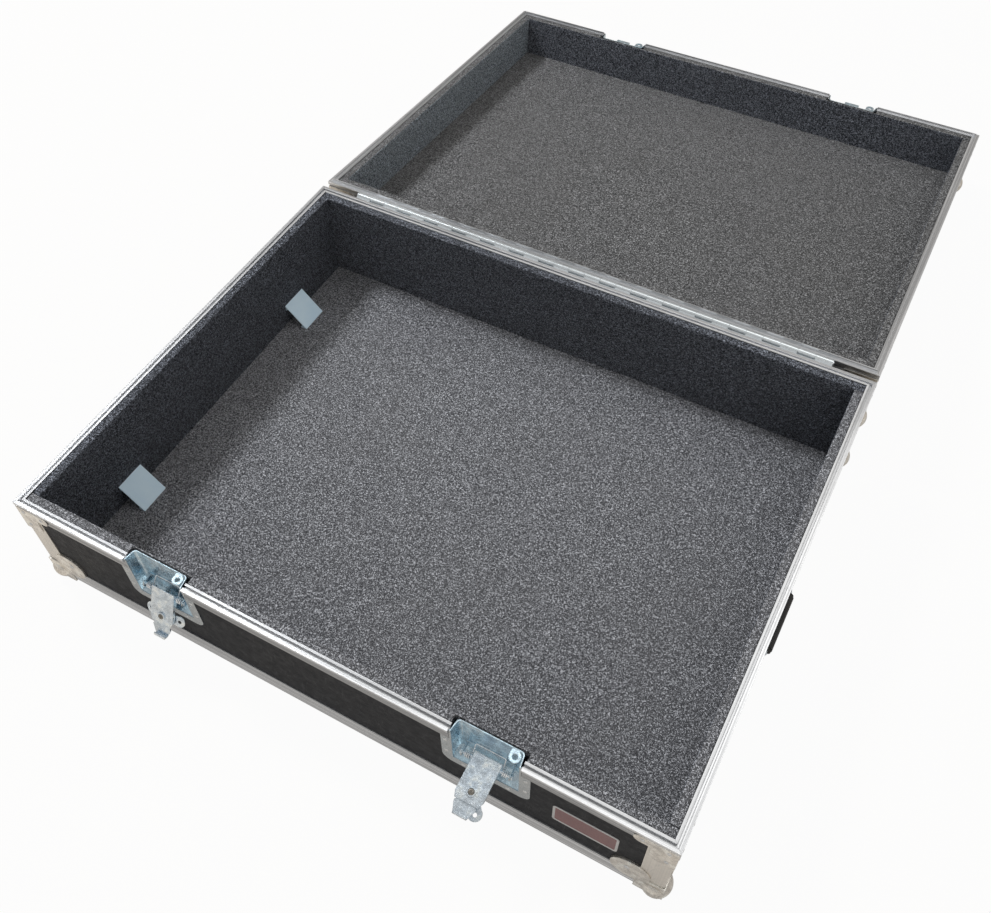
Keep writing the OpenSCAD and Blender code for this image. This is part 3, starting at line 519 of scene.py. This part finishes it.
dress(["left_dish_base", "right_dish_base", "left_pivot_bracket", "right_pivot_bracket",
       "left_handle_dish", "right_handle_dish", "base_padlock_eyes"], zinc_dish)
dress(["left_dish_lid", "right_dish_lid", "left_keeper", "right_keeper",
       "lid_padlock_eyes"], zinc_lid_dish)
dress(["left_pivot_pin", "right_pivot_pin", "left_latch_arm", "right_latch_arm",
       "left_hook_plate", "right_hook_plate", "left_butterfly", "right_butterfly",
       "left_handle_bail", "right_handle_bail", "left_springs", "right_springs"], zinc_latch)
dress(["base_ball_corners", "lid_ball_corners", "base_corner_braces",
       "lid_corner_braces"], zinc_corner)

# Handle grips
# Black rubber sleeves moulded over the two steel bails. Their satin skin has
# fine rings, so that a hand does not slip.
rubber, tree, shader = new_material("grip_rubber")
grime = effect(tree, grime_group, Scale=30.0)
coords = node(tree, "ShaderNodeTexCoord").outputs["Object"]
skin = node(tree, "ShaderNodeTexVoronoi", {"Vector": coords, "Scale": 1300.0})
ribs = node(tree, "ShaderNodeTexWave",
            {"Vector": coords, "Scale": 95.0, "Distortion": 0.0},
            wave_type="BANDS", bands_direction="Y")
base = mix_colour(tree, grime.outputs["Broad"], (0.012, 0.012, 0.012, 1),
                  (0.030, 0.029, 0.027, 1))
tree.links.new(base, shader.inputs["Base Color"])
tree.links.new(scaled(tree, grime.outputs["Fine"], 0, 1, 0.50, 0.68),
               shader.inputs["Roughness"])
height = maths(tree, "ADD", ribs.outputs["Fac"],
               maths(tree, "MULTIPLY", skin.outputs["Distance"], 0.3))
bumpy(tree, shader, height, 0.4, 0.0006)
dress(["left_handle_grip", "right_handle_grip"], rubber)

# Wedge brackets
# Two pieces of folded steel sheet, painted light blue grey. They stand on the
# floor foam by the left wall, each with one sloping face.
painted, tree, shader = new_material("painted_bracket")
edges = effect(tree, edge_group, Radius=0.0007, Scale=300.0)
grime = effect(tree, grime_group, Scale=20.0)
coords = node(tree, "ShaderNodeTexCoord").outputs["Object"]
peel = node(tree, "ShaderNodeTexNoise", {"Vector": coords, "Scale": 700.0, "Detail": 2.0})
base = mix_colour(tree, grime.outputs["Broad"], (0.62, 0.80, 0.94, 1), (0.72, 0.88, 0.98, 1))
base = mix_colour(tree, maths(tree, "MULTIPLY", edges.outputs["Edge"], 0.5),
                  base, (0.72, 0.75, 0.78, 1))
tree.links.new(base, shader.inputs["Base Color"])
tree.links.new(scaled(tree, grime.outputs["Fine"], 0, 1, 0.30, 0.42),
               shader.inputs["Roughness"])
shader.inputs["Metallic"].default_value = 0.05
bumpy(tree, shader, peel.outputs["Fac"], 0.25, 0.0003, edges.outputs["Normal"])
dress(["wedge_brackets"], painted)

# The foam lining
# Closed-cell foam, 12 mm thick on the walls and the base's floor and 25 mm in
# the lid, cut with a knife and glued in. The skin is pebbled in wormy cells
# about 2 mm across; cut edges are slightly rounded and never quite straight.
mm = 0.001
# In millimetres: half the width and depth over the rims, the rims' heights
# over the tray's bottom, and the tops of the flat sheets over it
rim_x, rim_y = 430.0, 334.0
base_rim, lid_rim = 158.0, 100.0
rim_gap = 0.4
base_foam_top, lid_foam_top = 18.5, 31.5
# How far in from the rim's edge the strips have their two faces, the outer
# face behind a latch dish, and their ends
strip_outer, strip_inner, pocket_outer = 11.0, 22.8, 19.6
long_strip_end, short_strip_end = 10.9, 23.0
sheet_inset = 22.7
foam_step = 5.0
latch_x, pocket_half = 216.0, 44.0
pivot_y, pivot_z = (place / mm for place in joint_named("lid_hinge")["pos_m"][1:])


def in_base(point):
    """A point of the base tray, in millimetres, as a place in metres."""
    return Vector(point) * mm


def in_lid(point):
    """The same for the lid's tray, turned over and folded back."""
    x, y, z = point
    back = y - pivot_y
    up = base_rim + rim_gap + lid_rim - z - pivot_z
    cosine, sine = math.cos(open_angle), math.sin(open_angle)
    return Vector((x, pivot_y + back * cosine + up * sine,
                   pivot_z - back * sine + up * cosine)) * mm


def cell_foam(name, dark, middle, pale):
    """Foam in three tones: painted shade in its pits, the skin's middle tone, and a painted
    highlight on its raised cells.
    """
    mat, tree, shader = new_material(name)
    grime = effect(tree, grime_group, Scale=5.0)
    coords = node(tree, "ShaderNodeTexCoord").outputs["Object"]
    wander = node(tree, "ShaderNodeTexNoise", {"Vector": coords, "Scale": 240.0, "Detail": 1.0})
    pushed = mix_colour(tree, 0.004, coords, wander.outputs["Color"], "ADD")
    cells = node(tree, "ShaderNodeTexVoronoi", {"Vector": pushed, "Scale": 560.0},
                 feature="SMOOTH_F1")
    worms = node(tree, "ShaderNodeTexNoise",
                 {"Vector": coords, "Scale": 540.0, "Detail": 1.0, "Distortion": 1.4})
    specks = node(tree, "ShaderNodeTexNoise",
                  {"Vector": coords, "Scale": 1300.0, "Detail": 2.0})
    pit = maths(tree, "ADD", scaled(tree, worms.outputs["Fac"], 0.41, 0.59, 0.0, 0.75),
                scaled(tree, cells.outputs["Distance"], 0.1, 0.7, 0.25, 0.0))
    # Painted shade in the pits and painted highlight on the raised cells, from the same relief as
    # the bump
    base = ramp(tree, pit, [(0.08, dark), (0.45, middle), (0.92, pale)])
    dusty = [c * warmer for c, warmer in zip(middle, (1.092, 1.05, 0.987))]
    base = mix_colour(tree, scaled(tree, grime.outputs["Broad"], 0.3, 0.9, 0.0, 0.16),
                      base, (*dusty, 1))
    tree.links.new(base, shader.inputs["Base Color"])
    tree.links.new(scaled(tree, specks.outputs["Fac"], 0.3, 0.7, 0.50, 0.78),
                   shader.inputs["Roughness"])
    shader.inputs["Specular IOR Level"].default_value = 0.35
    height = maths(tree, "ADD", pit, maths(tree, "MULTIPLY", specks.outputs["Fac"], 0.25))
    bumpy(tree, shader, height, 1.0, 0.0019)
    return mat


# Copies of one foam: the walls are darker and bluer than the floor as painted shade, the lid's
# left wall is paler as painted light, and lid_foam is darker and neutral
floor_foam = cell_foam("floor_foam", (0.046, 0.047, 0.053), (0.180, 0.183, 0.196),
                       (0.500, 0.508, 0.540))
wall_foam = cell_foam("wall_foam", (0.008, 0.009, 0.012), (0.056, 0.062, 0.076),
                      (0.280, 0.300, 0.348))
lid_foam = cell_foam("lid_foam", (0.034, 0.034, 0.035), (0.128, 0.128, 0.130),
                     (0.375, 0.375, 0.380))
lid_lit_side_foam = cell_foam("lid_lit_side_foam", (0.028, 0.034, 0.042), (0.250, 0.290, 0.330),
                          (0.740, 0.820, 0.900))


def pebble(point, amount=0.22):
    """Slow unevenness of hand-cut foam, in millimetres."""
    p = Vector(point)
    return (noise.noise(p * 0.013) * 1.5 + noise.noise(p * 0.11)) * amount


def skin_mesh(name, grid, place, flip):
    """Mesh of a grid of points (rows of equal length), put in place."""
    mesh = bpy.data.meshes.new(name)
    verts = [place(p) for row in grid for p in row]
    wide = len(grid[0])
    faces = []
    for i in range(len(grid) - 1):
        for j in range(wide - 1):
            a = i * wide + j
            quad = (a, a + 1, a + wide + 1, a + wide)
            faces.append(quad[::-1] if flip else quad)
    mesh.from_pydata(verts, [], faces)
    mesh.shade_smooth()
    return mesh


def evenly(a, b, step):
    """Numbers from a to b at about the given step."""
    count = max(1, round(abs(b - a) / step))
    return [a + (b - a) * i / count for i in range(count + 1)]


def foam_sheet(name, node_name, body, place, level, flip, skin):
    """The flat sheet on a tray's floor; level is the height of its top."""
    xs = evenly(sheet_inset - rim_x, rim_x - sheet_inset, foam_step)
    ys = evenly(sheet_inset - rim_y, rim_y - sheet_inset, foam_step)
    grid = [[(x, y, level + pebble((x, y, level))) for y in ys] for x in xs]
    mesh = skin_mesh(name, grid, place, flip)
    mesh.materials.append(skin)
    piece = new_object(name, mesh)
    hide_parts(node_name)
    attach(piece, body)


def foam_wall(name, node_name, body, place, side, rim, level, flip, pockets, skin,
              top_skin):
    """A strip along one wall; side turns it, pockets thin it behind the dishes."""
    half = rim_x - long_strip_end if side in ("front", "back") else rim_y - short_strip_end
    stations = evenly(-half, half, foam_step)
    for middle, reach in pockets:
        for edge in (middle - reach, middle + reach):
            stations += [edge - 0.05, edge + 0.05]
    top = rim - 0.5
    inner = strip_inner
    grid = []
    for along in sorted(stations):
        thinned = any(abs(along - middle) < reach for middle, reach in pockets)
        outer = pocket_outer if thinned else strip_outer
        end_round = 1.2 * max(0.0, 1.0 - (half - abs(along)) / 1.5) ** 2
        flat = inner - 1.6 - outer
        section = [(outer, top - 30.0), (outer, top - 15.0), (outer, top - 1.0),
                   (outer + 0.5, top - 0.2), (outer + 1.0, top)]
        section += [(outer + flat * k / 4, top) for k in (1, 2, 3, 4)]
        section += [(inner - 0.6, top - 0.25), (inner - 0.15, top - 0.8), (inner, top - 1.8)]
        section += [(inner, z) for z in evenly(top - 5.0, level - 0.5, foam_step)]
        row = []
        for inward, z in section:
            near_top = z > top - 3.0
            swell = pebble((along, inward * 3.0, z), 0.30)
            across = inward + (swell if inward > inner - 2.0 else 0.0)
            height = z - (end_round if near_top else 0.0)
            height += swell * 0.8 if near_top and inward > outer + 1 else 0.0
            height = min(height, rim - 0.1)
            row.append({"front": (along, across - rim_y, height),
                        "back": (-along, rim_y - across, height),
                        "left": (across - rim_x, -along, height),
                        "right": (rim_x - across, along, height)}[side])
        grid.append(row)
    mesh = skin_mesh(name, grid, place, not flip)
    mesh.materials.append(top_skin)
    mesh.materials.append(skin)
    faces_across, top_faces = len(grid[0]) - 1, 9
    for index, face in enumerate(mesh.polygons):
        face.material_index = 1 if index % faces_across >= top_faces else 0
    piece = new_object(name, mesh)
    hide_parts(node_name)
    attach(piece, body)


dish_pockets = [(-latch_x, pocket_half), (latch_x, pocket_half)]
foam_sheet("base_floor_foam_skin", "base_floor_foam", "case_base", in_base,
           level=base_foam_top, flip=True, skin=floor_foam)
foam_sheet("lid_top_foam_skin", "lid_top_foam", "lid", in_lid,
           level=lid_foam_top, flip=False, skin=lid_foam)
# Painted shade: the tops of the base's left and back strips take the darker wall foam, while the
# front and right tops take the floor's tone
for side in ("front", "back", "left", "right"):
    pockets = dish_pockets if side == "front" else []
    foam_wall("base_foam_" + side, "base_wall_foam", "case_base", in_base,
              side, base_rim, base_foam_top, False, pockets, wall_foam,
              floor_foam if side in ("front", "right") else wall_foam)
    foam_wall("lid_foam_" + side, "lid_wall_foam", "lid", in_lid,
              side, lid_rim, lid_foam_top, True, pockets,
              lid_lit_side_foam if side == "left" else wall_foam, lid_foam)

# Rivets
# Aluminium pop rivets hold every corner, brace, dish and hinge leaf: a low
# dome with the mandrel's broken end sunk in its middle.
rivet_alloy, tree, shader = new_material("rivet_alloy")
grime = effect(tree, grime_group, Scale=120.0)
coords = node(tree, "ShaderNodeTexCoord").outputs["Object"]
hammered = node(tree, "ShaderNodeTexNoise", {"Vector": coords, "Scale": 900.0, "Detail": 2.0})
base = mix_colour(tree, grime.outputs["Broad"], (0.62, 0.63, 0.64, 1), (0.78, 0.78, 0.78, 1))
tree.links.new(base, shader.inputs["Base Color"])
shader.inputs["Metallic"].default_value = 1.0
tree.links.new(scaled(tree, grime.outputs["Fine"], 0, 1, 0.28, 0.45), shader.inputs["Roughness"])
bumpy(tree, shader, hammered.outputs["Fac"], 0.3, 0.0002)


def join_rings(bm, rings):
    """Skins a run of closed rings that have the same number of points."""
    for lower, upper in zip(rings, rings[1:]):
        count = len(lower)
        for k in range(count):
            bm.faces.new((lower[k], lower[(k + 1) % count], upper[(k + 1) % count], upper[k]))


def rivet_group(name, spots, body, radius, rise, metal=rivet_alloy):
    """Rivet heads at (place in metres, outward direction), as one piece."""
    mesh = bpy.data.meshes.new(name)
    bm = bmesh.new()
    outline = [(1.0, -0.1), (1.0, 0.18), (0.90, 0.52), (0.66, 0.85), (0.42, 1.0),
               (0.34, 0.98), (0.30, 0.55)]
    count = 20
    for spot, outward in spots:
        turned = Vector(outward).normalized().to_track_quat("Z", "Y").to_matrix()
        rings = []
        for r, h in outline:
            ring = []
            for k in range(count):
                a = 2 * math.pi * k / count
                local = Vector((r * radius * math.cos(a), r * radius * math.sin(a), h * rise))
                ring.append(bm.verts.new(Vector(spot) + turned @ (local * mm)))
            rings.append(ring)
        join_rings(bm, rings)
        bm.faces.new(rings[-1])
    bm.to_mesh(mesh)
    bm.free()
    mesh.shade_smooth()
    mesh.materials.append(metal)
    piece = new_object(name, mesh)
    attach(piece, body)


def tray_direction(place, outward):
    """A tray's direction as a direction of the whole frame."""
    return (place(tuple(outward)) - place((0, 0, 0))).normalized()


# The panels' faces, and how far the fittings stand proud of them
face_x, face_y = 426.8, 330.8
brace_proud, ball_proud, dish_proud = 2.8, 3.1, 1.2
ball_reach = 45.0
for tray, place, rim, body in (("base", in_base, base_rim, "case_base"),
                               ("lid", in_lid, lid_rim, "lid")):
    lowest = 42 if tray == "base" else 33
    brace_spots, ball_spots = [], []
    for sx in (-1, 1):
        for sy in (-1, 1):
            end_way = tray_direction(place, (sx, 0, 0))
            front_way = tray_direction(place, (0, sy, 0))
            x, y = sx * (face_x + brace_proud), sy * (face_y + brace_proud)
            # Each brace has two rivets under the rim and one down the corner
            for along, down in ((10, 16), (38, 16), (10, lowest)):
                brace_spots.append((place((x - sx * along, y, rim - down)), front_way))
                brace_spots.append((place((x, y - sy * along, rim - down)), end_way))
            x, y = sx * (face_x + ball_proud), sy * (face_y + ball_proud)
            up = ball_reach - ball_proud
            ball_spots += [
                (place((x - sx * ball_reach, y, up)), front_way),
                (place((x, y - sy * ball_reach, up)), end_way),
                (place((x - sx * ball_reach, y - sy * ball_reach, -ball_proud)),
                 tray_direction(place, (0, 0, -1)))]
    rivet_group(tray + "_brace_rivets", brace_spots, body, 2.6, 0.9)
    rivet_group(tray + "_ball_rivets", ball_spots, body, 3.2, 1.1)
    if tray == "base":
        spots = [(-47.5, -31.0), (-47.5, -60.0), (47.5, -31.0), (47.5, -60.0),
                 (-27.0, -78.2), (27.0, -78.2)]
    else:
        spots = [(-47.0, -31.0), (47.0, -31.0), (-27.0, -34.2), (27.0, -34.2)]
    front_way = tray_direction(place, (0, -1, 0))
    dish_spots = [(place((middle + x, -face_y - dish_proud, rim + z)), front_way)
                  for middle in (-latch_x, latch_x) for x, z in spots]
    rivet_group(tray + "_dish_rivets", dish_spots, body, 2.6, 0.9)

handle_spots = [(in_base((sx * (face_x + dish_proud), y, z)), (sx, 0, 0))
                for sx in (-1, 1) for y in (-60.0, 0.0, 60.0) for z in (39.0, 125.0)]
rivet_group("handle_rivets", handle_spots, "case_base", 2.6, 0.9)

# The end of each butterfly's shaft is riveted over its washer, in bare steel
bare_steel, tree, shader = new_material("bare_steel")
grime = effect(tree, grime_group, Scale=160.0)
base = mix_colour(tree, grime.outputs["Broad"], (0.20, 0.18, 0.15, 1), (0.34, 0.32, 0.29, 1))
tree.links.new(base, shader.inputs["Base Color"])
shader.inputs["Metallic"].default_value = 1.0
tree.links.new(scaled(tree, grime.outputs["Fine"], 0, 1, 0.30, 0.50), shader.inputs["Roughness"])


def latch_pin(hand):
    """The middle of a latch's pivot pin, in millimetres."""
    return Vector(joint_named(hand + "_latch_swing")["pos_m"]) / mm


shaft_end = Vector((0, 5.6, 33.0))
for hand in ("left", "right"):
    swing = -joint_named(hand + "_latch_swing")["range_deg"][0]
    turn = Matrix.Rotation(math.radians(swing), 3, "X")
    spot = (latch_pin(hand) + turn @ shaft_end) * mm
    rivet_group(hand + "_hub_rivet", [(spot, turn @ Vector((0, 1, 0)))],
                hand + "_butterfly", 3.7, 1.0, bare_steel)

leaf_proud = 1.2
hinge_xs = range(-350, 351, 50)
hinge_spots = [(in_base((x, rim_y + leaf_proud, base_rim - 17.5)), (0, 1, 0)) for x in hinge_xs]
hinge_lid_spots = [(in_lid((x, rim_y + leaf_proud, lid_rim - 17.6)),
                    tray_direction(in_lid, (0, 1, 0))) for x in hinge_xs]
rivet_group("hinge_base_rivets", hinge_spots, "case_base", 2.4, 0.8)
rivet_group("hinge_lid_rivets", hinge_lid_spots, "lid", 2.4, 0.8)

# The springs
# One plated wire, 1.4 mm thick, is wound into a coil at each end of a latch's
# pivot pin, with a loop between the coils that leans on the dish. It is swept
# here as a round, smooth wire.
coil_pitch, coil_mean, turns = 2.1, 3.3, 3.25
coil_start = 18.9
wire_radius = 0.7
zinc_wire = plated("zinc_wire", (0.94, 0.97, 1.0), (0.95, 0.96, 0.97), 0.12, 0.22, 60.0)


def spring_spine():
    """Half of the wire's middle line, from the coil's free end to the middle."""
    points = []
    steps = 78
    for i in range(steps, -1, -1):
        wound = turns * i / steps
        angle = 2 * math.pi * wound
        points.append(Vector((coil_start + coil_pitch * wound, coil_mean * math.cos(angle),
                              -coil_mean * math.sin(angle))))
    knee, top = Vector((18.1, 4.6, 3.0)), Vector((18.1, 10.5, 11.0))
    points += [Vector((18.7, 3.4, 0.7)), Vector((18.4, 3.75, 1.6)), knee]
    leg = (top - knee).normalized()
    bend = 1.6
    bend_low, bend_far = top - leg * bend, top - Vector((bend, 0, 0))
    for k in range(7):
        t = k / 6
        points.append((1 - t) ** 2 * bend_low + 2 * t * (1 - t) * top + t * t * bend_far)
    return points


def spring_piece(name, node_name, hand):
    """The double spring of one latch, as round wire swept along its line."""
    half = spring_spine()
    line = half + [Vector((-p.x, p.y, p.z)) for p in reversed(half)]
    pin = latch_pin(hand)
    mesh = bpy.data.meshes.new(name)
    bm = bmesh.new()
    sides = 12
    rings = []
    side_way = Vector((1, 0, 0))
    for i, point in enumerate(line):
        ahead = line[min(i + 1, len(line) - 1)] - line[max(i - 1, 0)]
        ahead.normalize()
        side_way = (side_way - ahead * side_way.dot(ahead)).normalized()
        other_way = ahead.cross(side_way)
        ring = []
        for k in range(sides):
            b = 2 * math.pi * k / sides
            off = (side_way * math.cos(b) + other_way * math.sin(b)) * wire_radius
            ring.append(bm.verts.new((pin + point + off) * mm))
        rings.append(ring)
    join_rings(bm, rings)
    bm.faces.new(rings[0])
    bm.faces.new(rings[-1])
    bmesh.ops.recalc_face_normals(bm, faces=bm.faces)
    bm.to_mesh(mesh)
    bm.free()
    mesh.shade_smooth()
    mesh.materials.append(zinc_wire)
    piece = new_object(name, mesh)
    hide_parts(node_name)
    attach(piece, "case_base")


spring_piece("left_spring_wire", "left_springs", "left")
spring_piece("right_spring_wire", "right_springs", "right")

# The front plate
# A small plain plate of pressed sheet is glued low on the front, right of the
# right latch: a pale frame round a dark red field, lightly lacquered.
plate_red, tree, shader = new_material("plate_red")
grime = effect(tree, grime_group, Scale=40.0)
base = mix_colour(tree, grime.outputs["Broad"], (0.150, 0.028, 0.030, 1), (0.200, 0.045, 0.046, 1))
tree.links.new(base, shader.inputs["Base Color"])
tree.links.new(scaled(tree, grime.outputs["Fine"], 0, 1, 0.30, 0.42),
               shader.inputs["Roughness"])
shader.inputs["Coat Weight"].default_value = 0.3

plate_frame, tree, shader = new_material("plate_frame")
grime = effect(tree, grime_group, Scale=50.0)
scratches = effect(tree, scratch_group, Scale=90.0)
base = mix_colour(tree, grime.outputs["Broad"], (0.55, 0.55, 0.56, 1), (0.66, 0.66, 0.66, 1))
base = mix_colour(tree, maths(tree, "MULTIPLY", scratches.outputs["Scratch"], 0.4),
                  base, (0.35, 0.35, 0.36, 1))
tree.links.new(base, shader.inputs["Base Color"])
shader.inputs["Metallic"].default_value = 0.6
tree.links.new(scaled(tree, grime.outputs["Fine"], 0, 1, 0.34, 0.48),
               shader.inputs["Roughness"])


def plate_outline(half_w, half_h, corner, count=6):
    """Rounded rectangle as points about its middle."""
    points = []
    for cx, cy, start in ((1, 1, 0), (-1, 1, 90), (-1, -1, 180), (1, -1, 270)):
        for k in range(count + 1):
            a = math.radians(start + 90 * k / count)
            points.append((cx * (half_w - corner) + corner * math.cos(a),
                           cy * (half_h - corner) + corner * math.sin(a)))
    return points


plate_mesh = bpy.data.meshes.new("bare_plate")
bm = bmesh.new()
plate_rings = []
plate_x, plate_z = 333.0, 81.0
for half_w, half_h, corner, proud in (
        (37.5, 20.0, 4.0, 0.0), (37.5, 20.0, 4.0, 0.5), (37.0, 19.5, 3.5, 0.9),
        (35.2, 17.7, 2.4, 0.9), (34.8, 17.3, 2.0, 0.55), (34.6, 17.1, 2.0, 0.5)):
    plate_rings.append([
        bm.verts.new(Vector((plate_x + u, -face_y - proud, plate_z + v)) * mm)
        for u, v in plate_outline(half_w, half_h, corner)])
join_rings(bm, plate_rings)
field = bm.faces.new(plate_rings[-1])
field.material_index = 1
bm.to_mesh(plate_mesh)
bm.free()
plate_mesh.materials.append(plate_frame)
plate_mesh.materials.append(plate_red)
plate = new_object("bare_plate", plate_mesh)
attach(plate, "case_base")

# Sizes and end
# The bounds of the case are taken after loading, and again with every piece in place.
low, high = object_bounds()
